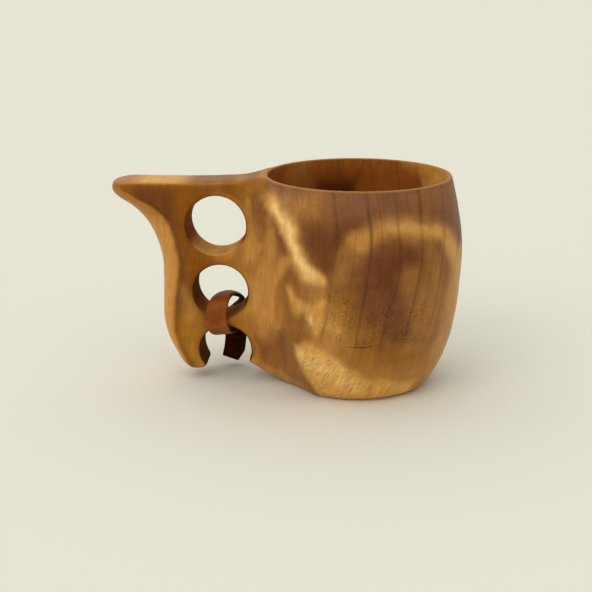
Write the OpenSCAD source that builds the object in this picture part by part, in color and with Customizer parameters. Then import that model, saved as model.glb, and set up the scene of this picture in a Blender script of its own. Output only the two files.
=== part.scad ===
// Kuksa: a drinking cup carved from one piece of birch, with a two-finger handle,
// and a leather thong hitched round the bridge below its lower finger hole.
// Millimetres, +Z up. The origin is on the bowl's axis, at its flat base.
// The handle points to -X, and its mid-plane is y = 0.

/* [Bowl] */
// Height of the rim above the base
rim_h = 91; // [90:0.5:92]
// Outer radius of the bowl at its widest
belly_r = 45; // [44:0.5:47]
// Radius of the hollow a little below the rim
mouth_r = 38; // [36:0.25:38.25]
// Thickness of the wood under the hollow
floor_t = 9; // [7:0.5:12]

/* [Handle] */
// Thickness of the handle plate
plate_t = 20; // [18:0.5:20]
// How sharply the handle's outer edge is rounded: 2 is an ellipse, less is flatter
edge_power = 1.7; // [1.4:0.1:2.5]
// Radius of the upper finger hole
upper_r = 12.7; // [12:0.1:13]
// Distance of the upper finger hole from the bowl's axis
upper_x = 59.5; // [59:0.25:60]
// Height of the upper finger hole
upper_z = 69.4; // [69:0.2:70]
// Radius of the lower finger hole
lower_r = 11.7; // [11:0.1:12]
// Distance of the lower finger hole from the bowl's axis
lower_x = 58; // [57.5:0.25:58.5]
// Height of the lower finger hole
lower_z = 40.5; // [40.5:0.1:41]
// Radius of the open notch at the foot of the handle
notch_r = 11.2; // [10.8:0.1:11.4]
// Distance of the notch from the bowl's axis
notch_x = 56.2; // [56:0.1:56.5]
// Height of the notch's centre
notch_z = 14; // [13.6:0.1:14]
// Rounding of the edges of the holes and the notch
ease_r = 1.3; // [0.8:0.1:1.6]

/* [Thong] */
// Width of the leather strip
strap_w = 9.5; // [9:0.25:9.75]
// Thickness of the leather strip
strap_t = 1.8; // [1.6:0.1:2]
// Width of the eye that the tail is pulled through
eye_w = 7; // [6.5:0.25:7.5]

/* [Fineness] */
// Facets of the bowl's plan from its far side to the neck, each half
arc_steps = 25; // [15:1:30]
// Facets of each flank of the neck
flank_steps = 9; // [6:1:12]
// Facets of each half of the handle's rounded outer edge
edge_steps = 8; // [5:1:10]

/* [Hidden] */

wood = [0.55, 0.36, 0.19];
leather = [0.47, 0.25, 0.14];
leather_dark = [0.30, 0.14, 0.08];
far = 30;            // how far the cutters run past what they cut
half_t = plate_t / 2;

// Outer radius of the bowl, as parts of the belly radius against parts of the rim height
bowl_shape = [
    [0, 0.633], [0.012, 0.69], [0.035, 0.733], [0.12, 0.826], [0.2, 0.888], [0.28, 0.933],
    [0.4, 0.971], [0.52, 0.991], [0.64, 1], [0.74, 0.988], [0.84, 0.957], [0.92, 0.921],
    [0.985, 0.889], [1, 0.876]
];
// Radius of the hollow against height, as parts of the mouth radius, from the floor to the rim
hollow_shape = [
    [0, 0], [0.011, 0.24], [0.028, 0.46], [0.065, 0.68], [0.125, 0.84], [0.23, 0.945],
    [0.38, 0.985], [0.6, 1.005], [0.82, 1.005], [0.975, 1], [1, 1.012]
];
// Angle from the -X axis at which the neck's flank leaves the bowl, against height
ridge_angle = [[0, 58], [11, 55.5], [25, 55], [45, 54], [64, 52.5], [71, 46], [82, 33], [92, 21]];
// Place of the hollow bend in the neck's flank, against height
bend_x = [[0, -31], [4, -33], [11, -37], [25, -40], [60, -40], [92, -41]];
// Where the flank runs out into the plate, against height
runout_x = [[0, -44], [4, -47], [11, -50], [25, -52], [70, -51], [92, -52]];
// Half thickness of the neck, as a part of the plate's, against height
neck_part = [[0, 0.45], [4, 0.7], [8, 0.9], [13, 1], [74, 1], [82, 0.95], [88, 0.86], [92, 0.8]];
// Half thickness of the plate near its outer edge, as a part of the full one, against height
plate_part = [
    [0, 0.6], [5, 0.84], [9, 0.96], [14, 1], [72, 1], [80, 0.97], [86, 0.91], [89, 0.84], [92, 0.7]
];
// Outer edge of the handle, from the hook up to the thumb rest, against height
edge_x = [
    [0, -74.6], [5, -75.8], [9, -77.5], [15, -80.9], [22, -83.4], [29, -84.2], [43, -84], [52, -84],
    [57, -84.7], [63, -86.7], [69, -89.8], [73.5, -93.6], [77.3, -98.2], [80.3, -102.9],
    [82.4, -105.1], [84.4, -105.4], [86.6, -104.9], [88.6, -103.4], [92, -98]
];
// Length of the rounded outer edge, measured along X, against height
edge_len = [
    [0, 4.5], [8, 4.6], [14, 5], [23, 5.5], [36, 6.6], [44, 8], [57, 8], [66, 9], [74, 10.5],
    [82, 9], [88, 7], [92, 7]
];
// Top of the handle from its tip to the rim, [x, z]
top_line = [
    [-112, 86.9], [-101, 88], [-92, 88.1], [-79, 88.1], [-66, 88.3], [-54, 88.8], [-47, 89.4], [-40, 90.9]
];
// Underside of the hook, across the notch's mouth and along the neck to the base, [x, z]
hook_line = [[-82, 13], [-77.6, 9.6], [-74.4, 6.6], [-71.8, 5.1], [-69, 4.6], [-66, 5.2], [-63.2, 7]];
neck_line = [[-44.8, 8.3], [-41, 5.5], [-37, 3.3], [-33, 1.7], [-29, 0.5], [-25.5, -0.1]];

// Heights of the plan sections, closer together where the outline turns faster
levels = concat(
    [0, 0.8, 1.9, 3.2, 4.8],
    [for (i = [0:29]) 6.8 + 2.25 * i],
    [for (i = [1:9]) 72.05 + 1.85 * i],
    [rim_h - 1.2, rim_h]
);

// Width of the strip that the rows below are drawn for
drawn_w = 9.5;
// Thong: rows of [x, y, z of its left edge, x, y, z of its right edge], as seen from the front.
// From the head behind the plate the strip rises with a quarter twist, arches over the bridge,
// untwists down the front, and runs back under the bridge into the head's eye.
loop_route = [
    [-59.65, 12.1, 24.2, -50.15, 12.1, 24.2], [-58.6, 14.2, 25.4, -50, 12.2, 26.6],
    [-55.9, 17, 26.8, -50.1, 12, 29], [-53.1, 18, 29.2, -50.3, 11.5, 31.4],
    [-52.5, 16.2, 31.8, -50.9, 8.1, 33.5], [-54.4, 12.4, 34.1, -51.4, 3.8, 35.3],
    [-57.6, 6.8, 36, -52.3, -0.6, 37], [-60.6, -0.6, 36.7, -53.2, -5.2, 38.4],
    [-62.4, -7.6, 36.3, -54.1, -9.5, 37.5], [-63.7, -11.2, 34.2, -54.6, -11.7, 35],
    [-64.1, -12, 31, -55.1, -12.1, 31.2], [-64, -12.1, 27.4, -55, -12.1, 27.8],
    [-63.3, -11.9, 24.6, -54.4, -12, 26.3], [-62.6, -9.9, 22.6, -54, -9.6, 23.6],
    [-61.2, -5.6, 20.6, -53.7, -5.6, 21.5], [-59.9, 0.6, 19.8, -52.5, 0.6, 20.4],
    [-58.6, 6.8, 19.4, -51.8, 6.8, 19.6], [-57.8, 13.2, 19.2, -51.8, 13.2, 19.2]
];
// The head behind the plate: its middle, the height of its eye, the leather left on each side of
// the eye, and the height of its lower end
head_x = -54.9;
head_y = 12.1;
eye_z = 19.4;
eye_h = 6.2;
head_rim = 3;
head_end = 13.6;
// Tail: from its hinge line behind the eye, down to its end above the table, in rows as above
tail_route = [
    [-57.8, 14.9, 19, -51.8, 14.9, 19], [-59.2, 15.8, 16.6, -50.3, 15.8, 16.6],
    [-59.3, 15.8, 13.4, -49.8, 15.8, 13.4], [-59.6, 15.3, 9.6, -50, 15.3, 9.9],
    [-60.1, 14.8, 6.6, -50.6, 14.8, 6.2], [-60.6, 14.4, 4, -51.4, 14.4, 2.7]
];

// ---- Curves ----

// Index of the stretch of a table that holds v
function stretch(v, t, i = 0) = i >= len(t) - 2 || v < t[i + 1][0] ? i : stretch(v, t, i + 1);
// Slope of a smooth curve through a table's points, at point i
function slope(t, i) =
    let (a = max(i - 1, 0), b = min(i + 1, len(t) - 1))
    (t[b][1] - t[a][1]) / (t[b][0] - t[a][0]);
// Height of the smooth curve through a table's points, at v
function curve_at(v, t) =
    let (
        i = stretch(v, t),
        h = t[i + 1][0] - t[i][0],
        s = max(0, min(1, (v - t[i][0]) / h))
    )
    t[i][1] * (1 - 3 * s * s + 2 * s * s * s) + t[i + 1][1] * (3 * s * s - 2 * s * s * s)
    + h * slope(t, i) * (s - 2 * s * s + s * s * s) + h * slope(t, i + 1) * (s * s * s - s * s);

// Point at s (0 to 1) between p[i] and p[i+1] of a smooth line through the points p
function between(p, i, s) =
    let (
        a = p[max(i - 1, 0)], b = p[i], c = p[i + 1], d = p[min(i + 2, len(p) - 1)]
    )
    ((2 * b) + (c - a) * s + (2 * a - 5 * b + 4 * c - d) * s * s + (3 * b - a - 3 * c + d) * s * s * s) / 2;
// Smooth line through the points p, with n stretches from each point to the next
function smooth_line(p, n) = concat(
    [for (i = [0:len(p) - 2]) for (k = [0:n - 1]) between(p, i, k / n)],
    [p[len(p) - 1]]
);

// ---- Cup ----

function bowl_r(z) = belly_r * curve_at(z / rim_h, bowl_shape);

// Half of the plan section at height z: the bowl's arc, the neck's flank, the plate's outer edge
function half_section(z) =
    let (
        r = bowl_r(z),
        ridge = 180 - curve_at(z, ridge_angle),
        neck_w = half_t * curve_at(z, neck_part),
        plate_w = half_t * curve_at(z, plate_part),
        from = r * [cos(ridge), sin(ridge)],
        bend = [curve_at(z, bend_x), neck_w],
        runout = [curve_at(z, runout_x), neck_w],
        reach = curve_at(z, edge_len),
        crease = curve_at(z, edge_x) + reach
    )
    concat(
        [for (i = [0:arc_steps]) r * [cos(ridge * i / arc_steps), sin(ridge * i / arc_steps)]],
        [for (i = [1:flank_steps])
            let (t = i / flank_steps)
            (1 - t) * (1 - t) * from + 2 * t * (1 - t) * bend + t * t * runout],
        [for (i = [0:edge_steps])
            let (a = 90 * i / edge_steps)
            [crease - reach * pow(sin(a), 2 / edge_power), plate_w * pow(cos(a), 2 / edge_power)]]
    );

// The whole plan section: a half and its mirror image, which share the two points on the mid-plane
function section(z) =
    let (half = half_section(z), n = len(half))
    concat(half, [for (i = [n - 2:-1:1]) [half[i][0], -half[i][1]]]);

// The uncut outside of the cup, lofted through its plan sections
module blank() {
    rings = [for (z = levels) section(z)];
    n = len(rings[0]);
    top = len(levels) - 1;
    polyhedron(
        points = [for (k = [0:top]) for (p = rings[k]) [p[0], p[1], levels[k]]],
        faces = concat(
            [[for (i = [0:n - 1]) i]],
            [[for (i = [n - 1:-1:0]) top * n + i]],
            [for (k = [0:top - 1]) for (i = [0:n - 1])
                [k * n + i, (k + 1) * n + i, k * n + (i + 1) % n]],
            [for (k = [0:top - 1]) for (i = [0:n - 1])
                [(k + 1) * n + i, (k + 1) * n + (i + 1) % n, k * n + (i + 1) % n]]
        )
    );
}

// An outline in the XZ plane, run across the whole cup
module across() {
    rotate([90, 0, 0])
        linear_extrude(height = 2 * (belly_r + far), center = true)
            children();
}

// What is cut away above the handle
module above_handle() {
    across() polygon(concat(smooth_line(top_line, 5), [[-40, rim_h + far], [-112, rim_h + far]]));
}

// What is cut away below the hook, the notch's mouth and the neck
module below_handle() {
    across() polygon(concat(
        smooth_line(hook_line, 4), smooth_line(neck_line, 4), [[-25.5, -far], [-82, -far]]
    ));
}

// A hole across the plate, with rounded edges at both faces
module finger_hole(x, z, r) {
    straight = half_t - ease_r;
    corner = [for (a = [0:18:90]) [r + ease_r - ease_r * cos(a), straight + ease_r * sin(a)]];
    upper = concat(corner, [[r + ease_r, half_t + far]]);
    lower = [for (i = [len(upper) - 1:-1:0]) [upper[i][0], -upper[i][1]]];
    translate([-x, 0, z]) rotate([90, 0, 0])
        rotate_extrude($fn = 96)
            polygon(concat([[0, -half_t - far]], lower, upper, [[0, half_t + far]]));
}

// The hollow that holds the drink
module hollow() {
    deep = rim_h - floor_t;
    wall = smooth_line([for (p = hollow_shape) [mouth_r * p[1], floor_t + deep * p[0]]], 3);
    rotate_extrude($fn = 128)
        polygon(concat(
            [for (p = wall) [max(p[0], 0), p[1]]],
            [[wall[len(wall) - 1][0], rim_h + far], [0, rim_h + far]]
        ));
}

module cup_body() {
    color(wood)
        difference() {
            blank();
            above_handle();
            below_handle();
            finger_hole(upper_x, upper_z, upper_r);
            finger_hole(lower_x, lower_z, lower_r);
            finger_hole(notch_x, notch_z, notch_r);
            hollow();
        }
}

// ---- Thong ----

// A flat strip along a route of rows that give its two edges
module strip(route, n) {
    line = smooth_line(route, n);
    last = len(line) - 1;
    function left(row) = [row[0], row[1], row[2]];
    function right(row) = [row[3], row[4], row[5]];
    function middle(row) = (left(row) + right(row)) / 2;
    rings = [for (i = [0:last])
        let (
            along = middle(line[min(i + 1, last)]) - middle(line[max(i - 1, 0)]),
            reach = (right(line[i]) - left(line[i])) / 2 * strap_w / drawn_w,
            normal = cross(reach, along),
            out = normal / norm(normal) * strap_t / 2,
            here = middle(line[i])
        )
        [here + reach + out, here - reach + out, here - reach - out, here + reach - out]
    ];
    polyhedron(
        points = [for (ring = rings) for (p = ring) p],
        faces = concat(
            [[3, 2, 1, 0]],
            [[for (j = [0:3]) 4 * last + j]],
            [for (i = [0:last - 1]) for (j = [0:3])
                [4 * i + j, 4 * i + (j + 1) % 4, 4 * (i + 1) + j]],
            [for (i = [0:last - 1]) for (j = [0:3])
                [4 * i + (j + 1) % 4, 4 * (i + 1) + (j + 1) % 4, 4 * (i + 1) + j]]
        )
    );
}

// The strip's wider end, with the eye that the tail is pulled through
module head() {
    wide = eye_w / 2 + head_rim;
    translate([head_x, head_y, 0]) rotate([90, 0, 0])
        linear_extrude(height = strap_t, center = true)
            difference() {
                polygon(smooth_line([
                    [-strap_w / 2, eye_z + 6.4], [-strap_w / 2, eye_z + 5.2], [-wide, eye_z + 1.5],
                    [-wide * 0.93, eye_z - 2.5], [-wide * 0.45, head_end], [wide * 0.45, head_end],
                    [wide * 0.93, eye_z - 2.5], [wide, eye_z + 1.5], [strap_w / 2, eye_z + 5.2],
                    [strap_w / 2, eye_z + 6.4]
                ], 4));
                translate([0, eye_z]) scale([eye_w, eye_h]) circle(d = 1, $fn = 32);
            }
}

module strap_loop() {
    color(leather) {
        strip(loop_route, 3);
        head();
    }
}

module strap_tail() {
    color(leather_dark) strip(tail_route, 4);
}

cup_body();
strap_loop();
strap_tail();
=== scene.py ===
"""Kuksa: a carved birch cup and its leather thong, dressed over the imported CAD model.

Metres and the row frame throughout: +Z up, the handle towards -X. Where a table is easier to read
in millimetres it says so, and MM turns it into metres.
"""

import math

import bmesh
import bpy
import numpy as np
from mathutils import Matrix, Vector


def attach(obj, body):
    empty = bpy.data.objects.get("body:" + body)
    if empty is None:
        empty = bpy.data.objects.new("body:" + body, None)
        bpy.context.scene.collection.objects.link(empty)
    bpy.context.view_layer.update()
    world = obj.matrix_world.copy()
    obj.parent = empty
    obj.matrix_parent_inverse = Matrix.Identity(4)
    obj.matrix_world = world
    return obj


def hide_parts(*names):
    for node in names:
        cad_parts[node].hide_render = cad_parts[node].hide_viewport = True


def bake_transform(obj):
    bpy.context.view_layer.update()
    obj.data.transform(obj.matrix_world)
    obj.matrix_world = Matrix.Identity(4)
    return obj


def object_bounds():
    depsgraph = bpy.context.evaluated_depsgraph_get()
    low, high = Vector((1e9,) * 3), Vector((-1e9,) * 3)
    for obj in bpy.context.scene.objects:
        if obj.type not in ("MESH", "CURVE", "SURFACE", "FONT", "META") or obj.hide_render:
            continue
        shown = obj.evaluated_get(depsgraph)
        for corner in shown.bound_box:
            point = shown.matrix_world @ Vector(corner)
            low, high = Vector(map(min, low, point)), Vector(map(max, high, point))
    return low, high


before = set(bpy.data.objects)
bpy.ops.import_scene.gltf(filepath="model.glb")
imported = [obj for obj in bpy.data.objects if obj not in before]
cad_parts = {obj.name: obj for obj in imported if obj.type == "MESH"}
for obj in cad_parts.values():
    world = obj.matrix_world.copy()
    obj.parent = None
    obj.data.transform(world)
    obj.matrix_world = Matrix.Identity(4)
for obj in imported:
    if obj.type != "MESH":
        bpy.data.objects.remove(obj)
cad_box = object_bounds()

MM = 0.001
MOST_FACES = 190000  # triangles of the cup's visual mesh
WAVES = 7  # sine waves in each pattern of unevenness


# ---- Numbers ----


def ramp(value, low, high):
    """0 below low, 1 above high, and a smooth step between them. Low may be the larger."""
    t = np.clip((value - low) / (high - low), 0, 1)
    return t * t * (3 - 2 * t)


def along(value, table):
    """The height at value of the straight lines through a table's points."""
    points = np.array(table, float)
    return np.interp(value, points[:, 0], points[:, 1])


def waves(points, length, seed):
    """Gentle unevenness, mostly from -1 to 1 and of about this wavelength, at an array of points."""
    draw = np.random.RandomState(seed)
    height = np.zeros(len(points))
    for _ in range(WAVES):
        heading = draw.normal(size=3)
        heading /= np.linalg.norm(heading)
        turns = points @ heading / (length * draw.uniform(0.7, 1.5))
        height += np.sin(2 * math.pi * (turns + draw.uniform()))
    return height / math.sqrt(WAVES) * 0.8


# ---- Meshes ----


def add_object(name, mesh):
    piece = bpy.data.objects.new(name, mesh)
    bpy.context.scene.collection.objects.link(piece)
    return piece


def cad_copy(cad_node, name):
    return add_object(name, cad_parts[cad_node].data.copy())


def apply_modifier(piece, kind, **settings):
    """Adds a modifier with these settings, and keeps only its result."""
    modifier = piece.modifiers.new(kind.title(), kind)
    for key, value in settings.items():
        setattr(modifier, key, value)
    graph = bpy.context.evaluated_depsgraph_get()
    mesh = bpy.data.meshes.new_from_object(piece.evaluated_get(graph))
    piece.modifiers.clear()
    piece.data = mesh


def places(mesh):
    """The vertices of a mesh, in millimetres."""
    flat = np.empty(len(mesh.vertices) * 3)
    mesh.vertices.foreach_get("co", flat)
    return flat.reshape(-1, 3) / MM


def normals(mesh):
    flat = np.empty(len(mesh.vertices) * 3)
    mesh.vertices.foreach_get("normal", flat)
    return flat.reshape(-1, 3)


def set_places(mesh, points):
    mesh.vertices.foreach_set("co", (points * MM).ravel())
    mesh.update()


def soften(mesh, weight, passes):
    """Each vertex moves towards the middle of its neighbours, by half its weight on each pass."""
    points = places(mesh)
    count = len(points)
    ends = np.empty(len(mesh.edges) * 2, np.int32)
    mesh.edges.foreach_get("vertices", ends)
    first, second = ends.reshape(-1, 2).T
    degree = np.bincount(first, minlength=count) + np.bincount(second, minlength=count)
    step = (weight / 2 / degree)[:, None]
    for _ in range(passes):
        pull = -degree[:, None] * points
        for k in range(3):
            pull[:, k] += np.bincount(first, points[second, k], count)
            pull[:, k] += np.bincount(second, points[first, k], count)
        points += step * pull
    set_places(mesh, points)


def smooth_shading(mesh):
    mesh.polygons.foreach_set("use_smooth", [True] * len(mesh.polygons))
    mesh.update()


def store(mesh, name, values, kind="FLOAT"):
    """A value, or a colour of three parts, at each vertex."""
    layer = mesh.attributes.new(name, kind, "POINT")
    if kind == "FLOAT":
        layer.data.foreach_set("value", values.astype(np.float32))
    else:
        whole = np.ones((len(values), 4), np.float32)
        whole[:, :3] = values
        layer.data.foreach_set("color", whole.ravel())


# ---- Camera, floor and light ----

VIEW_TARGET = (0.5272, 0.5, 0.4022)  # shares of the CAD box's sides
VIEW_AZIMUTH = math.radians(4)
VIEW_ELEVATION = math.radians(16)
VIEW_DISTANCE = 0.545  # m
SENSOR_WIDTH, FOCAL_LENGTH = 36, 76  # mm
FLOOR_HALF = 40  # m, half a side of the floor
FLOOR_COLOUR = (0.81, 0.805, 0.70, 1)
LIGHT_COLOUR = (1.0, 0.985, 0.95)
SKY_STRENGTH = 0.64
# Name, the direction that the light comes from, strength, and width in degrees
SUNS = [("overhead", (-0.25, 0.1, 1), 0.8, 100), ("window", (-0.7, -1, 0.8), 0.58, 40)]


def add_camera():
    low, high = (np.array(corner) for corner in cad_box)
    target = Vector(low + (high - low) * VIEW_TARGET)
    back = Vector(
        (
            math.sin(VIEW_AZIMUTH) * math.cos(VIEW_ELEVATION),
            -math.cos(VIEW_AZIMUTH) * math.cos(VIEW_ELEVATION),
            math.sin(VIEW_ELEVATION),
        )
    )
    data = bpy.data.cameras.new("camera")
    data.sensor_width = SENSOR_WIDTH
    data.lens = FOCAL_LENGTH
    camera = add_object("camera", data)
    camera.location = target + back * VIEW_DISTANCE
    camera.rotation_euler = back.to_track_quat("Z", "Y").to_euler()
    bpy.context.scene.camera = camera


def add_floor():
    mesh = bpy.data.meshes.new("floor")
    corners = [(FLOOR_HALF * x, FLOOR_HALF * y, 0) for x, y in ((-1, -1), (1, -1), (1, 1), (-1, 1))]
    mesh.from_pydata(corners, [], [(0, 1, 2, 3)])
    floor = add_object("floor", mesh)
    material, shader = new_material("floor")
    shader.inputs["Base Color"].default_value = FLOOR_COLOUR
    shader.inputs["Roughness"].default_value = 0.75
    shader.inputs["Specular IOR Level"].default_value = 0.2
    mesh.materials.append(material)


def add_sun(name, place, strength, width):
    """A soft light from the direction of place, this many degrees wide."""
    data = bpy.data.lights.new(name, "SUN")
    data.energy = strength
    data.angle = math.radians(width)
    data.color = LIGHT_COLOUR
    light = add_object(name, data)
    light.rotation_euler = Vector(place).to_track_quat("Z", "Y").to_euler()


def add_light():
    world = bpy.data.worlds.new("studio")
    world.use_nodes = True
    sky = world.node_tree.nodes["Background"]
    sky.inputs["Color"].default_value = (*LIGHT_COLOUR, 1)
    sky.inputs["Strength"].default_value = SKY_STRENGTH
    bpy.context.scene.world = world
    bpy.context.scene.view_settings.view_transform = "Standard"
    for sun in SUNS:
        add_sun(*sun)


# ---- Shader nodes ----


def new_material(name):
    material = bpy.data.materials.new(name)
    material.use_nodes = True
    return material, material.node_tree.nodes["Principled BSDF"]


def node(tree, kind, inputs=(), **settings):
    """A shader node. Inputs are (socket, value or output) pairs."""
    made = tree.nodes.new("ShaderNode" + kind)
    for key, value in settings.items():
        setattr(made, key, value)
    for key, value in inputs:
        if isinstance(value, bpy.types.NodeSocket):
            tree.links.new(value, made.inputs[key])
        else:
            made.inputs[key].default_value = value
    return made


def maths(tree, operation, *values):
    return node(tree, "Math", enumerate(values), operation=operation).outputs[0]


def product(tree, first, second):
    return maths(tree, "MULTIPLY", first, second)


def total(tree, first, second):
    return maths(tree, "ADD", first, second)


def mixed(tree, share, first, second, blend="MIX"):
    """Two colours mixed: sockets 6 and 7 of a Mix node are its colours, and output 2 the result."""
    made = node(
        tree, "Mix", [(0, share), (6, first), (7, second)], data_type="RGBA", blend_type=blend
    )
    return made.outputs[2]


def read(tree, name, output="Fac"):
    """What store() has left at the vertices under this name."""
    return node(tree, "Attribute", attribute_name=name).outputs[output]


def noise(tree, scales, detail=2.0, roughness=0.5, vector=None, distortion=0.0):
    """Noise whose grain has this many lumps a metre along X, Y and Z, from 0 to 1."""
    if vector is None:
        vector = node(tree, "TexCoord").outputs["Object"]
    stretched = node(tree, "Mapping", [("Vector", vector), ("Scale", scales)])
    made = node(
        tree,
        "TexNoise",
        [
            ("Vector", stretched.outputs[0]),
            ("Scale", 1.0),
            ("Detail", detail),
            ("Roughness", roughness),
            ("Distortion", distortion),
        ],
    )
    return made.outputs["Fac"]


def spread(tree, value, low, high, to_low=0.0, to_high=1.0):
    """A value that goes smoothly from to_low to to_high while the given one goes from low to high."""
    made = node(
        tree,
        "MapRange",
        [
            ("Value", value),
            ("From Min", low),
            ("From Max", high),
            ("To Min", to_low),
            ("To Max", to_high),
        ],
        interpolation_type="SMOOTHSTEP",
    )
    return made.outputs["Result"]


def height_above(tree):
    """Height above the floor, in metres."""
    place = node(tree, "TexCoord").outputs["Object"]
    return node(tree, "SeparateXYZ", [("Vector", place)]).outputs["Z"]


def varied(tree, colour, grain, darkest, lightest, reach=0.25):
    """The colour made darker and lighter by a noise, whose values lie within reach of 0.5."""
    factor = spread(tree, grain, 0.5 - reach, 0.5 + reach, darkest, lightest)
    grey = node(tree, "CombineColor", [("Red", factor), ("Green", factor), ("Blue", factor)])
    return mixed(tree, 1.0, colour, grey.outputs[0], "MULTIPLY")


def add_relief(tree, shader, relief, strength, depth):
    """Bump: depth is how far a relief of 1 stands out, in metres."""
    bump = node(tree, "Bump", [("Height", relief), ("Strength", strength), ("Distance", depth)])
    tree.links.new(bump.outputs[0], shader.inputs["Normal"])


# ---- Cup ----

CUP_VOXEL = 0.55  # mm
PASSES = 48  # softening passes over the cup, which round a full-weight edge to about 2 mm
CARVED = 0.11  # mm, unevenness left by hand carving
CARVED_RIM = 0.12  # share of it that is left at the rim
CARVED_WAVES = [(0.65, 19, 5), (0.35, 8, 8)]  # shares, wavelengths in mm, and seeds
LEAST_OUTER = 28  # mm, a radius that all rows of the outer wall pass and the hollow's floor doesn't
NECK_FROM, NECK_TO = -40, -50  # mm along X, where the bowl's neck turns into the handle
BRIDGE = (-57, 27)  # mm, middle of the bridge between the lower hole and the notch, in the XZ plane


def wall_profiles(points):
    """Outer radius and hollow's radius against height, read off the CAD cup's +X side, in mm."""
    side = points[points[:, 0] > 0]
    radius = np.hypot(side[:, 0], side[:, 1])
    heights = np.round(side[:, 2], 2)
    outer = widest_rows(heights, radius)
    outer = outer[outer[:, 1] > LEAST_OUTER]
    outer = outer[[is_outer(outer, i) for i in range(len(outer))]]
    inside = (along(side[:, 2], outer) - radius > 0.5) & (side[:, 2] > 5)
    return outer, widest_rows(heights[inside], radius[inside])


def widest_rows(heights, radius):
    """Rows of height and largest radius at that height."""
    return np.array([[z, radius[heights == z].max()] for z in np.unique(heights)])


def is_outer(rows, i):
    """True where a row isn't far inside the line between its neighbours three rows off."""
    low, high = rows[max(i - 3, 0)], rows[min(i + 3, len(rows) - 1)]
    share = (rows[i, 0] - low[0]) / max(high[0] - low[0], 1e-6)
    return rows[i, 1] > low[1] + (high[1] - low[1]) * share - 0.6


def cup_weight(points):
    """How much each place of the cup is softened: least at the lip, and little on the handle."""
    x, y, z = points.T
    handle = ramp(x, NECK_FROM, NECK_TO)
    bridge = np.hypot((x - BRIDGE[0]) / 9, (z - BRIDGE[1]) / 3.5)
    # Where, as a share from 0 to 1, and the weight there. Each row goes over the ones before it
    stretches = [
        (handle, 0.33),
        (handle * ramp(z, 9, 4), 0.8),  # the handle's foot
        (handle * ramp(z, 84, 87), 0.75),  # its top
        ((1 - handle) * ramp(z, 5, 2), 0.5),  # the bowl's foot
        (ramp(bridge, 1.4, 0.9), 0.25),
        (ramp(z, 80, 86) * ramp(np.hypot(x, y), 42.5, 40.5), 0.06),  # the lip
    ]
    weight = np.ones(len(points))
    for share, wanted in stretches:
        weight += share * (wanted - weight)
    return weight


def true_up(points, profiles):
    """Brings the wall near the rim back to the CAD's radii, which softening has changed."""
    radius = np.hypot(points[:, 0], points[:, 1])
    level = points[:, 2]
    for profile in profiles:
        wanted = along(level, profile)
        near = ramp(np.abs(radius - wanted), 0.75, 0.4) * ramp(level, 76, 80)
        points[:, :2] *= (1 + near * (wanted / radius - 1))[:, None]


def shape_cup(piece):
    """Softens the CAD's edges and adds a carver's unevenness, which fades towards the rim."""
    profiles = wall_profiles(places(piece.data))
    apply_modifier(piece, "WELD", merge_threshold=1e-6)
    apply_modifier(piece, "REMESH", mode="VOXEL", voxel_size=CUP_VOXEL * MM)
    soften(piece.data, cup_weight(places(piece.data)), PASSES)
    points = places(piece.data)
    true_up(points, profiles)
    uneven = sum(share * waves(points, length, seed) for share, length, seed in CARVED_WAVES)
    fading = ramp(points[:, 2], 86, 78) + CARVED_RIM
    points += normals(piece.data) * (uneven * CARVED * fading)[:, None]
    points[:, 2] = np.maximum(points[:, 2], 0)
    set_places(piece.data, points)
    triangles = 2 * len(piece.data.polygons)
    apply_modifier(piece, "DECIMATE", ratio=min(1, MOST_FACES / triangles))
    smooth_shading(piece.data)
    return profiles


def add_cup():
    piece = cad_copy("cup_body", "kuksa_cup")
    profiles = shape_cup(piece)
    paint_cup(piece.data, profiles)
    piece.data.materials.clear()
    piece.data.materials.append(birch())
    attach(piece, "cup")
    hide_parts("cup_body")


# ---- The wood's figure, with painted light and shade ----


def shade(red, green, blue):
    """A linear colour from one written as screen values, 0 to 255."""
    value = np.array((red, green, blue)) / 255
    return np.where(value <= 0.04045, value / 12.92, ((value + 0.055) / 1.055) ** 2.4)


# Paints of the outside, from dark to light
DEEP = shade(104, 56, 27)
RUSSET = shade(108, 60, 12)
HEART = shade(122, 74, 43)
UMBER = shade(136, 81, 20)
BROWN = shade(152, 98, 38)
BEAK = shade(168, 112, 76)
PAINTED_SHEEN = shade(176, 132, 98)
HONEY = shade(190, 135, 66)
GOLD = shade(228, 171, 90)
PALE = shade(246, 206, 134)

# Paints of the hollow and of the holes' walls: painted shade in both, painted light low on the walls, and a
# painted highlight round the holes' edges
HOLLOW = shade(150, 84, 30)
HOLLOW_SHADE = shade(64, 26, 8)
HOLE_EDGE_HIGHLIGHT = shade(190, 124, 36)
WALL_EDGE_SHADE = shade(84, 42, 12)
WALL_SHADE = shade(100, 52, 10)
WALL_LOW_LIGHT = shade(160, 104, 34)

ARC = 0.75  # mm round the bowl for each degree of angle


def segment(u, v, start, end):
    """Each place's distance from a straight line, and the share of the line at its nearest point."""
    (au, av), (bu, bv) = start, end
    du, dv = bu - au, bv - av
    share = np.clip(((u - au) * du + (v - av) * dv) / (du * du + dv * dv), 0, 1)
    return np.hypot(u - au - share * du, v - av - share * dv), share


def band(u, v, points):
    """1 along the middle of a soft line through points (u, v, half width), 0 away from it."""
    best = np.zeros(len(u))
    for (*start, start_width), (*end, end_width) in zip(points, points[1:]):
        gap, share = segment(u, v, start, end)
        gap /= start_width + share * (end_width - start_width)
        best = np.maximum(best, np.exp(-0.8 * gap**2.4))
    return best


def patch(u, v, soft, outline):
    """1 inside an outline of points (u, v), 0 outside, over a soft edge."""
    inside = np.zeros(len(u), bool)
    nearest = np.full(len(u), np.inf)
    for start, end in zip(outline, outline[1:] + outline[:1]):
        (au, av), (bu, bv) = start, end
        nearest = np.minimum(nearest, segment(u, v, start, end)[0])
        if av != bv:
            inside ^= ((av > v) != (bv > v)) & (u < au + (bu - au) * (v - av) / (bv - av))
    return ramp(np.where(inside, nearest, -nearest), -soft, soft)


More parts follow.
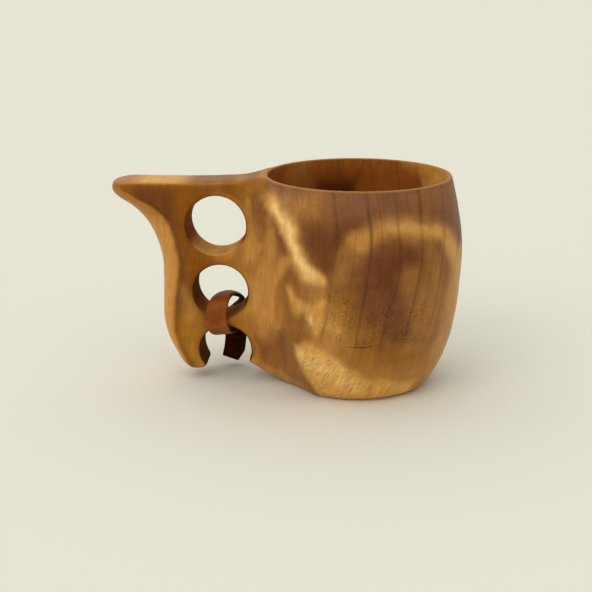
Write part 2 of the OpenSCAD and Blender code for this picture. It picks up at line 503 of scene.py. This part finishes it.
class Brush:
    """Lays paint over vertex colours, by the share on. Each vertex has a place (u, v) on the surface.

    Strokes and patches go by the same u and v. Where u is an angle, across is the mm in each degree.
    """

    def __init__(self, colour, u, v, on, across=1.0):
        self.colour = colour
        self.u = u * across
        self.v = v
        self.on = on
        self.across = across

    def in_mm(self, points):
        return [(u * self.across, *rest) for u, *rest in points]

    def wash(self, share, paint):
        """Paint by a share, which is one number or one for each vertex."""
        self.colour += (self.on * share)[:, None] * (paint - self.colour)

    def stroke(self, strength, paint, *points):
        """A soft line through points (u, v, half width)."""
        self.wash(strength * band(self.u, self.v, self.in_mm(points)), paint)

    def fill(self, strength, paint, soft, *outline):
        """A patch inside points (u, v), with an edge soft over this many mm to either side."""
        self.wash(strength * self.area(soft, *outline), paint)

    def area(self, soft, *outline):
        """1 inside points (u, v), 0 outside."""
        return patch(self.u, self.v, soft, self.in_mm(outline))


def paint_front(colour, angle, z, on):
    """The bowl's front and the neck's near flank: angle from straight ahead, and height."""
    brush = Brush(colour, angle, z, on, ARC)
    brush.wash(1, HEART)
    brush.fill(0.45, BROWN, 6, (-30, 90), (-12, 91), (-12, 78), (-28, 76))
    brush.fill(0.85, DEEP, 6, (-24, 74), (-4, 80), (6, 80), (-2, 60), (-16, 58))
    brush.fill(0.5, DEEP, 5, (12, 86), (62, 86), (64, 80), (12, 80))
    lower = [(-26, 52), (-12, 53), (6, 42), (28, 30), (60, 22), (88, 26), (88, -4), (-26, -4)]
    brush.fill(0.85, HONEY, 7, *lower)
    shadow = [(-6, 28), (20, 27), (38, 25), (52, 24), (50, 15), (30, 14), (8, 16), (-4, 21)]
    brush.fill(0.75, BROWN, 6, *shadow)
    brush.fill(0.6, RUSSET, 6, (0, 52), (20, 52), (26, 40), (34, 30), (22, 22), (6, 26), (-2, 38))
    brush.fill(0.5, BROWN, 5, (-14, 50), (2, 56), (10, 40), (-4, 32))
    brush.fill(0.75, HEART, 5, (4, 66), (20, 72), (52, 69), (64, 58), (64, 30), (40, 27), (6, 38))
    brush.fill(0.8, DEEP, 5, (8, 64), (24, 69), (52, 66), (60, 54), (30, 48), (10, 52))
    brush.stroke(0.45, HONEY, (30, 56, 5), (36, 44, 6), (40, 32, 5))
    brush.stroke(0.35, HONEY, (42, 66, 4), (44, 54, 5), (46, 40, 5))
    brush.fill(0.45, BROWN, 4, (30, 90), (66, 90), (64, 81), (34, 83))
    arch_top = [(3, 71.5, 3.4), (11, 75, 4.4), (22, 77, 4.6), (37, 75.5, 4.4), (53, 72.5, 4.2), (63, 66, 4)]
    arch_leg = [(70, 56, 4), (75, 48, 4.5), (73, 30, 5), (72, 10, 6)]
    brush.stroke(0.76, HONEY * 1.08, *arch_top, *arch_leg)
    brush.stroke(0.42, HONEY, (-8, 58, 3), (-4, 65, 4), (3, 71, 4))
    brush.stroke(0.5, GOLD, (20, 77.5, 2), (37, 76, 2.2), (53, 73, 2))
    # Painted sheen: the upper bowl is washed paler and greyer
    brush.wash(0.18 * ramp(z, 72, 90), PAINTED_SHEEN)
    brush.stroke(0.5, GOLD, (60, 68, 4), (66, 56, 5), (64, 38, 5), (60, 24, 5))
    brush.stroke(0.35, HONEY, (50, 62, 4), (52, 46, 5), (48, 32, 5))
    brush.stroke(0.55, GOLD, (74, 62, 3), (79, 50, 4), (78, 30, 4))
    brush.fill(0.55, HONEY, 4, (-46, 87), (-20, 89), (-20, 82), (-32, 79))


def paint_sapwood(colour, angle, z, on):
    """The pale foot of the bowl and the bright streak that crosses its left shoulder, with painted
    highlights on the streak's middle and in two small spots.
    """
    brush = Brush(colour, angle, z, on, ARC)
    foot_top = [(-34, 26), (-25, 27), (-17, 24.5), (-6, 20), (4, 14.5), (14, 11), (30, 7.5), (46, 7)]
    brush.fill(0.9, GOLD, 2.6, *foot_top, (46, -6), (-30, -6), (-31, 8))
    brush.stroke(0.5, PALE, (-32, 22, 3), (-24, 19, 4), (-12, 13, 4), (0, 7, 3))
    brush.stroke(0.6, GOLD, (-36, 50, 2), (-32, 44, 3), (-24, 41, 3), (-17, 45, 2))
    brush.stroke(0.5, GOLD, (-20, 34, 2), (-18, 38, 2.5), (-10, 35, 2))
    brush.stroke(0.75, BROWN, (-13, 53, 1.5), (-11, 49, 2.2))
    # Painted highlights: two small bright spots on the bowl's lower front
    brush.stroke(0.6, PALE, (-24.5, 37.6, 1.3), (-23, 36, 1.3))
    brush.stroke(0.5, PALE, (-9, 20, 1.2), (-6, 18.5, 1.2))
    streak_top = [(-66, 83, 2.6), (-57, 82.6, 4.2), (-48, 80, 4.6), (-39, 76, 4)]
    streak_end = [(-34.5, 69, 3.2), (-30.5, 62.5, 3), (-24.5, 57.8, 3.2), (-16.5, 54.3, 2.2)]
    brush.stroke(0.9, GOLD, *streak_top, *streak_end)
    # Painted highlight along the streak's pale middle
    brush.stroke(0.75, PALE, (-54, 82, 1.8), (-39, 76, 1.9), (-32, 64, 1.2), (-21, 56.5, 1.5))
    brush.stroke(0.7, HONEY * 1.12, (-36, 62.5, 2.4), (-43, 59.5, 3.2), (-50, 52, 4))


# Angle of the ridge between the bowl's front and the hollow flank, against height in mm
RIDGE = [(0, -29), (25, -35), (64, -39), (76, -46), (92, -54)]
FLANK_BLEND = 22  # degrees over which the flank's paint comes in, left of the ridge


def paint_flank(colour, angle, z, on):
    """The hollow flank between bowl and handle, left of the ridge."""
    shoulder = Brush(colour, angle, z, on, ARC)
    shoulder.wash(0.85 * ramp(angle, -22, -32) * ramp(z, 62, 50), BROWN)
    ridge = along(z, RIDGE)
    brush = Brush(colour, angle, z, on * ramp(angle, ridge, ridge - FLANK_BLEND), ARC)
    brush.wash(1, BROWN)
    brush.wash(0.8 * ramp(z, 76, 60) * ramp(z, 22, 34), HONEY)
    brush.stroke(0.6, HONEY, (-56, 78, 3), (-58, 70, 4), (-54, 64, 3))
    brush.stroke(0.6, HEART, (-40, 70, 2), (-42, 64, 3), (-50, 62, 3))
    brush.stroke(0.7, HEART, (-44, 27, 2.5), (-50, 20, 3.5), (-56, 24, 3))
    # Painted shade: a dark line in the hollow just left of the ridge
    brush.stroke(0.4, DEEP, (-37, 30, 1.5), (-35, 18, 1.8), (-32, 8, 1.6))
    brush.wash(0.7 * ramp(z, 9, 3), HONEY)


def paint_neck(colour, x, z, on):
    """Light and dark clouds between the bowl's ridge and the finger holes, in the XZ plane."""
    brush = Brush(colour, x, z, on)
    brush.stroke(0.6, HEART, (-40, 83, 3), (-43, 75, 3.5), (-41.5, 66, 2.5))
    brush.stroke(0.5, HONEY, (-45.5, 79, 2), (-44, 70, 2.2), (-45, 62, 2.5), (-43, 54, 3))
    brush.stroke(0.6, HONEY, (-34.5, 71, 1.4), (-35, 64.5, 1.6), (-35.5, 60, 1.2))
    sweep = [(-28, 58.5, 2.2), (-33, 55.4, 2.6), (-37, 51, 3), (-40, 46, 3.4), (-42, 42, 4), (-44, 35, 4)]
    brush.stroke(0.6, HONEY * 1.1, *sweep)
    brush.stroke(0.5, HONEY * 1.12, (-35.4, 41, 2.4), (-37.4, 34, 3), (-40, 25, 3))
    brush.stroke(0.6, BROWN, (-38, 60, 2), (-41, 56, 2), (-45, 50, 2.4))
    brush.stroke(0.6, HEART, (-48, 19, 3), (-43, 17, 3.2), (-40, 14.5, 2.6), (-35.6, 18, 2.4))
    brush.stroke(0.7, HEART, (-31, 28, 1.2), (-30.5, 20, 1.4), (-29, 12, 1.4))
    brush.stroke(0.7, HONEY * 1.1, (-47, 9, 2), (-40, 8, 2.4), (-34, 6, 2.2), (-27, 3, 2))
    brush.stroke(0.5, BROWN, (-31, 50, 1.4), (-33, 42, 1.6), (-32, 34, 1.6))


def paint_back(colour, angle, z, on):
    """The far side: angle from straight behind, positive towards +X."""
    brush = Brush(colour, angle, z, on, ARC)
    brush.wash(1, BROWN)
    brush.fill(0.85, HEART, 8, (-30, 92), (90, 92), (90, 60), (30, 50), (-20, 62))
    brush.fill(0.7, DEEP, 6, (0, 80), (44, 84), (50, 64), (14, 58))
    brush.fill(0.8, HONEY, 7, (-40, 22), (10, 30), (60, 18), (60, -4), (-40, -4))
    brush.fill(0.8, GOLD, 3, (-12, 14), (22, 19), (52, 9), (52, -4), (-12, -4))
    sweep = [(-48, 80, 2.5), (-30, 66, 3), (-8, 54, 4), (18, 46, 4), (48, 44, 4), (80, 52, 3)]
    brush.stroke(0.7, HONEY * 1.08, *sweep)
    brush.stroke(0.5, GOLD, (-40, 73, 1.2), (-16, 57, 1.6), (14, 47, 1.5))
    brush.stroke(0.5, HEART, (10, 36, 5), (40, 32, 6), (66, 34, 5))


def paint_inside(colour, angle, z, on):
    """The hollow: angle from straight ahead, positive towards +X, so that the far wall is at 180."""
    brush = Brush(colour, angle % 360, z, on, ARC)
    brush.wash(1, HOLLOW)
    # Painted shade: a dark patch high on the far wall, and darker paint further down the hollow
    brush.fill(0.8, HOLLOW_SHADE, 5, (182, 83), (210, 82), (216, 70), (176, 70))
    brush.wash(0.5 * ramp(z, 76, 50), HEART)
    brush.stroke(0.4, HONEY, (222, 92, 6), (232, 78, 7), (238, 50, 7))
    # Painted light: a golden patch and line high on the right wall
    right = [(70, 97), (156, 99), (140, 88), (120, 82), (102, 76), (84, 71), (70, 73)]
    brush.fill(0.85, HONEY * (1.15, 1.1, 0.8), 5, *right)
    brush.stroke(0.6, GOLD, (94, 90, 3), (112, 85, 3), (132, 83, 1.5))


# Outer edge of the handle, and the width of the band of painted light along it, against height, in mm
HANDLE_EDGE = [
    (0, -74.6), (9, -77.5), (15, -80.9), (22, -83.4), (29, -84.2), (52, -84), (57, -84.7),
    (63, -86.7), (69, -89.8), (73.5, -93.6), (77.3, -98.2), (80.3, -102.9), (84.4, -105.4), (92, -98),
]
EDGE_WIDTH = [
    (0, 4), (8.5, 4.1), (16, 4.5), (28, 5.6), (37, 6.4), (48, 7.9), (59, 8.5), (67, 10), (73, 11),
    (78, 11.4), (82, 8.4), (86, 3.4), (92, 3),
]


def paint_handle(colour, points, facing, on):
    """The handle's two faces, its outer edge and its top, in millimetres."""
    x, _, z = points.T
    brush = Brush(colour, x, z, on)
    brush.wash(1, UMBER)
    head = [(-94, 86), (-84, 86), (-77, 84), (-76, 66), (-82, 60), (-87, 72), (-93, 80)]
    brush.fill(0.7, DEEP, 3.5, *head)
    brush.stroke(0.6, HEART, (-79, 66, 4), (-76, 50, 4), (-75, 34, 3))
    brush.stroke(0.5, DEEP, (-92, 83, 2), (-86, 77, 2.5), (-82, 70, 2.5))
    brush.stroke(0.5, HONEY * (1, 0.97, 0.6), (-72, 26, 7), (-70, 14, 6), (-68, 8, 4))
    brush.stroke(0.6, HONEY * (1, 0.97, 0.6), (-68, 12, 2.4), (-66, 6, 2.6))
    brush.stroke(0.5, HONEY, (-74, 42, 1.6), (-72, 36, 2.4), (-71, 30, 3))
    brush.stroke(0.5, HONEY, (-58, 55.5, 2), (-50, 57, 3), (-46, 52, 3))
    brush.stroke(0.4, HEART, (-64, 84, 3), (-52, 80, 4), (-44, 74, 5))
    paint_handle_edge(brush, x - along(z, HANDLE_EDGE), along(z, EDGE_WIDTH), z)
    # Painted light: the handle's top is painted golden where it faces up
    above = on * ramp(facing[:, 2], 0.2, 0.95) * ramp(z, 80, 84)
    top = Brush(colour, x, 0 * z, above)
    top.wash(0.9, GOLD)
    top.stroke(0.8, HEART, (-66, 0, 7), (-56, 0, 8), (-46, 0, 6))
    top.wash(0.8 * ramp(x, -90, -97), BEAK)


def paint_handle_edge(brush, from_edge, width, z):
    """A light band of this width along the handle's outer edge, painted light where its bevel faces the
    light, and painted shade in the crease beside it.
    """
    rim = ramp(from_edge, width + 1.2, width - 1.2) * ramp(z, 89, 78)
    brush.wash(0.92 * rim, HONEY * (1.22, 1.2, 1.25))
    brush.wash(0.6 * rim * ramp(from_edge, width * 0.45, width), HONEY * (1, 0.92, 0.6))
    brush.wash(0.55 * rim * ramp(z, 66, 78), BROWN)
    fold_shade = np.exp(-(((from_edge - width - 1.4) / 1.3) ** 2)) * ramp(z, 84, 76)
    brush.wash(0.35 * fold_shade, DEEP)


# Middle, height and radius of the upper hole, the lower hole and the notch, in mm, and the
# paints of each one's wall: painted shade over most of it, and painted light on its lowest stretch
HOLES = [
    (-59.5, 69.4, 12.7, shade(132, 70, 10), shade(206, 152, 80)),
    (-58, 40.5, 11.7, WALL_SHADE, WALL_LOW_LIGHT),
    (-56, 13, 13, WALL_SHADE, WALL_LOW_LIGHT),
]


def paint_holes(colour, points, facing):
    """The walls of the handle's holes: end grain, painted dark above as painted shade and golden below as
    painted light where the wall faces up. Returns where they are.
    """
    x, y, z = points.T
    depth = np.abs(y)
    end_grain = np.zeros(len(points))
    across = ramp(np.abs(facing[:, 1]), 0.75, 0.45) * ramp(depth, 10.2, 9.6)
    for middle, level, radius, paint, low_light in HOLES:
        away = np.hypot(x - middle, z - level)
        # Painted highlight: an amber ring on the faces round the right side of each hole's rounded edge
        edge_highlight = np.exp(-(((away - radius - 1.2) / 1.3) ** 2)) * ramp(x, middle - 6, middle + 6)
        Brush(colour, x, z, 1 - across).wash(0.5 * edge_highlight, HOLE_EDGE_HIGHLIGHT)
        # Painted shade over each wall, darker along its left stretch at the faces, and painted light on its
        # lowest stretch, which faces up
        wall = across * ramp(away, radius + 2.2, radius + 1.2)
        brush = Brush(colour, x, z, wall)
        brush.wash(1, paint)
        brush.wash(0.6 * ramp(depth, 7.4, 8.6) * ramp(x, middle + 4, middle - 4), WALL_EDGE_SHADE)
        brush.wash(ramp(z - level, -0.35 * radius, -0.95 * radius), low_light)
        end_grain = np.maximum(end_grain, wall)
    return end_grain


# Growth lines: upright at their waist, and leaning towards the handle above and below it
RING_WAIST = 71  # mm, height
RING_LEAN = 0.21  # mm across for each mm of height, far from the waist
RING_BEND = 15  # mm of height over which the lean comes in


def across_rings(points):
    """Each place's position across the growth lines, in mm."""
    x, _, z = points.T
    lean = np.hypot(z - RING_WAIST, RING_BEND) - RING_BEND
    return x + RING_LEAN * lean + 0.5 * waves(points, 30, seed=31)


# The drying crack, called a check, low on the bowl's front: middle, height, half length and half width
CHECK_X, CHECK_Z = 3.2, 27.6  # mm
CHECK_HALF_LENGTH, CHECK_HALF_WIDTH = 8.5, 0.34  # mm


def check_gap(points):
    """How many half widths each place is above or below the check, which narrows to its ends."""
    x, y, z = points.T
    narrowed = np.clip(1 - np.abs(x - CHECK_X) / CHECK_HALF_LENGTH, 0.02, 1)
    middle = CHECK_Z + 0.05 * x - 0.25 * np.sin(x / 2.3)
    far_side = 99 * (y > 0)  # so large a gap that none shows there
    return (z - middle) / (CHECK_HALF_WIDTH * narrowed) + far_side


# Unevenness of the painted outlines: size and wavelength in mm, and the seeds for X, Y and Z
WARPS = [(1.3, 16, (11, 12, 13)), (0.5, 5, (14, 15, 16))]
HANDLE_WARP = 0.12  # share of it on the handle, whose paint follows crisp edges


def warp(points):
    """The points moved about a little, so that what is painted by them has uneven outlines."""
    moved = points.copy()
    for size, length, seeds in WARPS:
        moved += size * np.stack([waves(points, length, seed) for seed in seeds], 1)
    return moved


def paint_cup(mesh, profiles):
    """Stores the wood's colour, which holds painted light and shade too, and the masks that birch() reads.
    """
    points, facing = places(mesh), normals(mesh)
    x, y, z = points.T
    warped = warp(points)
    wx, wy, wz = warped.T
    ahead = np.degrees(np.arctan2(wx, -wy))
    behind = np.degrees(np.arctan2(wx, wy))
    front = ramp(np.abs(np.degrees(np.arctan2(x, -y))), 96, 84)
    _, hollow = profiles
    from_hollow = np.hypot(x, y) - along(z, hollow)
    inside = ramp(from_hollow, 0.9, 0.3) * (z > hollow[0, 0] - 0.5)
    inside *= 1 - ramp(facing[:, 2], 0.5, 0.8) * ramp(z, 84, 87)
    outside = 1 - inside

    colour = np.tile(BROWN, (len(points), 1))
    paint_back(colour, behind, wz, np.ones(len(points)))
    paint_front(colour, ahead, wz, front)
    paint_flank(colour, ahead, wz, front)
    paint_sapwood(colour, ahead, wz, front)
    paint_handle(colour, points + HANDLE_WARP * (warped - points), facing, ramp(x, -45, -54))
    paint_neck(colour, wx, wz, ramp(x, -24, -30) * ramp(ahead, -32, -42) * ramp(z, 88, 84))
    end_grain = paint_holes(colour, points, facing)
    paint_inside(colour, ahead, wz, inside)
    colour *= 1 + 0.05 * waves(points, 6, seed=21)[:, None]

    store(mesh, "end_grain", end_grain)
    store(mesh, "figure", np.clip(colour, 0, 1), "FLOAT_COLOR")
    store(mesh, "rings", across_rings(points))
    lines = (1 - ramp(x, NECK_FROM, NECK_TO) * 0.7) * (1 - 0.6 * inside)
    store(mesh, "line_strength", lines * (1 - 0.9 * ramp(z, 36, 20) * outside))
    bowl = Brush(colour, ahead, z, front, ARC)
    pores = bowl.area(6, (-16, 52), (10, 54), (44, 44), (44, 28), (10, 24), (-14, 34))
    store(mesh, "pores", pores * front * outside)
    foot = bowl.area(3, (-34, 26), (-17, 24), (4, 14), (30, 7), (30, -6), (-30, -6))
    store(mesh, "foot", foot * front * outside)
    store(mesh, "check", check_gap(points))


# ---- The wood's material ----

# Growth lines of the heartwood: place across the grain in mm, width in mm, and strength
RING_LINES = [
    (-16.2, 1.1, 0.2), (-11.5, 0.6, 0.12), (-7.2, 1.2, 0.45),
    (0.5, 0.7, 0.2), (6.8, 1.2, 0.75), (11.2, 0.6, 0.25), (18.2, 1.2, 0.65), (22.4, 0.6, 0.25),
    (26.9, 1.2, 0.55), (31.5, 0.6, 0.2), (36.2, 1, 0.3), (42.5, 0.8, 0.3),
]
LINE_DARK = (0.06, 0.02, 0.012, 1)
PORE_DARK = (0.035, 0.015, 0.006, 1)
SLANT_DARK = (0.27, 0.13, 0.035, 1)
CHECK_DARK = (0.012, 0.005, 0.003, 1)
WOOD_GLOSS = (1, 0.74, 0.46, 1)
LIP_FROM, LIP_TO = 90.2 * MM, 90.9 * MM  # heights between which the rim's top grows lighter: a painted highlight along the lip
SLANT_ANGLE = math.radians(-36)


def ring_lines(tree, rings):
    """Thin dark lines where the ring coordinate passes one of RING_LINES."""
    darkest = None
    for place, width, strength in RING_LINES:
        gap = maths(tree, "ABSOLUTE", maths(tree, "SUBTRACT", rings, place))
        line = spread(tree, gap, width, 0.0, 0.0, strength)
        darkest = line if darkest is None else maths(tree, "MAXIMUM", darkest, line)
    clouds = spread(tree, noise(tree, (90, 90, 45), 3), 0.3, 0.62, 0.35, 0.8)
    return product(tree, product(tree, darkest, read(tree, "line_strength")), clouds)


def pore_specks(tree):
    """Short dark pores along the grain, thickest where the pores attribute says."""
    place = node(tree, "TexCoord").outputs["Object"]
    stretched = node(tree, "Mapping", [("Vector", place), ("Scale", (2300, 2300, 1250))]).outputs[0]
    cells = node(tree, "TexVoronoi", [("Vector", stretched), ("Scale", 1.0), ("Randomness", 1.0)])
    dots = spread(tree, cells.outputs["Distance"], 0.46, 0.2)
    amount = total(tree, product(tree, read(tree, "pores"), 0.9), 0.1)
    clouds = spread(tree, noise(tree, (160, 160, 110), 2), 0.35, 0.65)
    return product(tree, dots, product(tree, amount, clouds))


def foot_slants(tree):
    """Fine dark dashes that run aslant over the pale foot."""
    place = node(tree, "TexCoord").outputs["Object"]
    turned = node(tree, "Mapping", [("Vector", place), ("Rotation", (0, SLANT_ANGLE, 0))])
    grain = noise(tree, (1700, 500, 130), 2, 0.6, turned.outputs[0])
    return product(tree, spread(tree, grain, 0.46, 0.68, 0.0, 0.55), read(tree, "foot"))


def grain_streaks(tree, rings):
    """Noise drawn out along the growth lines."""
    upwards = product(tree, height_above(tree), 40.0)
    across = node(tree, "CombineXYZ", [("X", rings), ("Z", upwards)]).outputs[0]
    return noise(tree, (0.55, 1, 1), 4, 0.62, across)


def birch():
    """Oiled birch: the painted figure, which holds painted light and shade too, with growth lines, fibres,
    ripple, pores, the check, and a painted highlight on the lip.
    """
    material, shader = new_material("oiled_birch")
    tree = material.node_tree
    wander = spread(tree, noise(tree, (60, 60, 22), 2), 0.3, 0.7, -0.5, 0.5)
    rings = total(tree, read(tree, "rings"), wander)
    fibres = noise(tree, (2600, 2600, 190), 3, 0.6)
    ripple = noise(tree, (420, 420, 1500), 3, 0.6, distortion=0.6)
    specks = pore_specks(tree)
    check = spread(tree, maths(tree, "ABSOLUTE", read(tree, "check")), 1.0, 0.3, 0.0, 0.8)

    colour = varied(tree, read(tree, "figure", "Color"), grain_streaks(tree, rings), 0.91, 1.09)
    colour = varied(tree, colour, fibres, 0.89, 1.1)
    colour = varied(tree, colour, ripple, 0.94, 1.05)
    colour = mixed(tree, ring_lines(tree, rings), colour, LINE_DARK)
    # Painted highlight: the rim's top is painted lighter towards its highest edge
    lip = spread(tree, height_above(tree), LIP_FROM, LIP_TO, 0.0, 0.55)
    colour = mixed(tree, lip, colour, (*HONEY, 1))
    colour = mixed(tree, specks, colour, PORE_DARK)
    colour = mixed(tree, foot_slants(tree), colour, SLANT_DARK)
    colour = mixed(tree, check, colour, CHECK_DARK)
    tree.links.new(colour, shader.inputs["Base Color"])

    rough = total(tree, spread(tree, fibres, 0.2, 0.8, 0.36, 0.46), product(tree, specks, 0.2))
    rough = total(tree, rough, product(tree, read(tree, "end_grain"), 0.55))
    tree.links.new(rough, shader.inputs["Roughness"])
    relief = maths(tree, "SUBTRACT", product(tree, fibres, 0.25), specks)
    relief = maths(tree, "SUBTRACT", relief, product(tree, check, 3.0))
    add_relief(tree, shader, relief, 0.35, 0.12 * MM)
    shader.inputs["Specular IOR Level"].default_value = 0.12
    shader.inputs["Specular Tint"].default_value = WOOD_GLOSS
    return material


# ---- Thong ----

THONG_THICK = 1.8  # mm
THONG_VOXEL = 0.24  # mm
TAIL_STEPS = 8  # pieces of the tail's strip between one row of its edges and the next
# The tail, from inside the eye to its end: rows of left and right edge, in mm
TAIL_EDGES = [
    (-58.1, 11.4, 19.25, -51.9, 11.4, 19.3), (-57.9, 13.4, 19.3, -51.8, 13.4, 19.3),
    (-58.1, 15.1, 18.6, -51.5, 15.1, 18.6), (-59.2, 15.8, 16.6, -50.3, 15.8, 16.6),
    (-59.3, 15.8, 13.4, -49.8, 15.8, 13.4), (-59.6, 15.3, 9.6, -50, 15.3, 9.9),
    (-60.1, 14.8, 6.6, -50.5, 14.8, 6.2), (-60.9, 14.3, 3, -51.3, 14.3, 2.2),
    (-61.4, 14.1, 0.5, -51.9, 14.1, 0.1),
]
LOOP_LEVEL = 28  # mm, height of the line that the loop goes round
# The tail's slanted end: corners in the XZ plane, in mm, from left to right
TAIL_END = [(-62.5, 4.5), (-53.4, 1.6), (-49.5, 7.6)]


def smooth_rows(rows, steps):
    """A smooth line through rows of numbers, with this many steps from each to the next."""
    rows = np.array(rows, float)
    line = []
    for i in range(len(rows) - 1):
        a, b = rows[max(i - 1, 0)], rows[i]
        c, d = rows[i + 1], rows[min(i + 2, len(rows) - 1)]
        for s in np.arange(steps) / steps:
            bend = (2 * a - 5 * b + 4 * c - d) * s**2 + (3 * b - a - 3 * c + d) * s**3
            line.append((2 * b + (c - a) * s + bend) / 2)
    return np.array(line + [rows[-1]])


def strip_mesh(name, rows, thick):
    """A flat strip through rows that give its left and right edges, in mm."""
    line = smooth_rows(rows, TAIL_STEPS)
    left, right = line[:, :3], line[:, 3:]
    ahead = np.gradient((left + right) / 2, axis=0)
    out = np.cross(right - left, ahead)
    out *= thick / 2 / np.linalg.norm(out, axis=1)[:, None]
    rings = np.stack([right + out, left + out, left - out, right - out], 1)
    faces = [(3, 2, 1, 0), tuple(4 * (len(line) - 1) + j for j in range(4))]
    for i in range(len(line) - 1):
        for j in range(4):
            k = (j + 1) % 4
            faces.append((4 * i + j, 4 * i + k, 4 * i + 4 + k, 4 * i + 4 + j))
    mesh = bpy.data.meshes.new(name)
    mesh.from_pydata((rings.reshape(-1, 3) * MM).tolist(), [], faces)
    return mesh


def soften_thong(piece, passes):
    apply_modifier(piece, "REMESH", mode="VOXEL", voxel_size=THONG_VOXEL * MM)
    soften(piece.data, np.ones(len(piece.data.vertices)), passes)


def add_thong_loop():
    """The head, the arch, the front and the run under the bridge: the CAD's own shape, softened."""
    piece = cad_copy("strap_loop", "thong_loop")
    apply_modifier(piece, "WELD", merge_threshold=1e-6)
    soften_thong(piece, passes=14)
    # The grain face looks away from the loop's middle, so its inside, in the shade under the bridge, takes
    # the near-black flesh paint
    away = places(piece.data) - (0, 0, LOOP_LEVEL)
    away[:, 0] = 0
    finish_thong(piece, away)
    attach(piece, "thong_loop")
    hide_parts("strap_loop")


def add_thong_tail():
    piece = add_object("thong_tail", strip_mesh("thong_tail", TAIL_EDGES, THONG_THICK))
    cut_tail(piece.data)
    soften_thong(piece, passes=6)
    # The grain face is put on the +Y side, so that the -Y face, in the handle's shade, takes the near-black
    # flesh paint as painted shade
    finish_thong(piece, np.tile((0.0, 1.0, 0.0), (len(piece.data.vertices), 1)))
    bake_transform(piece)
    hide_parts("strap_tail")


def cut_tail(mesh):
    """Trims the tail's end to its two slanted cuts."""
    work = bmesh.new()
    work.from_mesh(mesh)
    for (ax, az), (bx, bz) in zip(TAIL_END, TAIL_END[1:]):
        whole = list(work.verts) + list(work.edges) + list(work.faces)
        cut = bmesh.ops.bisect_plane(
            work,
            geom=whole,
            plane_co=(ax * MM, 0, az * MM),
            plane_no=(bz - az, 0, ax - bx),
            clear_outer=True,
        )
        rim = [g for g in cut["geom_cut"] if isinstance(g, bmesh.types.BMEdge)]
        bmesh.ops.holes_fill(work, edges=rim)
    work.to_mesh(mesh)
    work.free()


def finish_thong(piece, away):
    """Stores side, which is 1 on the leather's grain face, -1 on its flesh face and 0 on cut edges. The
    flesh face gets leather()'s near-black painted shade.

    Away is the direction that the grain face looks in at each vertex.
    """
    mesh = piece.data
    facing = normals(mesh)
    away /= np.linalg.norm(away, axis=1)[:, None]
    store(mesh, "side", (facing * away).sum(1))
    mesh.materials.clear()
    mesh.materials.append(leather())
    smooth_shading(mesh)


GRAIN_DARK, GRAIN_LIGHT = (0.22, 0.052, 0.006, 1), (0.30, 0.085, 0.014, 1)
# The flesh face's paint is near-black: painted shade on the loop's inside under the bridge and on the
# tail's face behind the handle
FLESH_SHADE_DARK, FLESH_SHADE_LIGHT = (0.026, 0.0016, 0.0004, 1), (0.046, 0.004, 0.001, 1)
LEATHER_GLOSS = (1, 0.74, 0.5, 1)


def leather():
    """Brown leather: a smooth reddish grain face, and a duller flesh face painted near-black as painted
    shade.
    """
    name = "brown_leather"
    if name in bpy.data.materials:
        return bpy.data.materials[name]
    material, shader = new_material(name)
    tree = material.node_tree
    side = read(tree, "side")
    clouds = spread(tree, noise(tree, (150, 150, 150), 3), 0.35, 0.65)
    grain = noise(tree, (2600, 2600, 2600), 3, 0.6)
    face = mixed(tree, clouds, GRAIN_DARK, GRAIN_LIGHT)
    flesh = mixed(tree, clouds, FLESH_SHADE_DARK, FLESH_SHADE_LIGHT)
    colour = mixed(tree, spread(tree, side, -0.2, 0.45), flesh, face)
    colour = varied(tree, colour, grain, 0.84, 1.1, reach=0.2)
    tree.links.new(colour, shader.inputs["Base Color"])
    dull = spread(tree, side, 0.4, -0.1, 0.0, 0.35)
    rough = total(tree, spread(tree, grain, 0.3, 0.7, 0.48, 0.6), dull)
    tree.links.new(rough, shader.inputs["Roughness"])
    add_relief(tree, shader, grain, 0.4, 0.1 * MM)
    shader.inputs["Specular IOR Level"].default_value = 0.2
    shader.inputs["Specular Tint"].default_value = LEATHER_GLOSS
    return material


add_camera()
add_floor()
add_light()
add_cup()
add_thong_loop()
add_thong_tail()
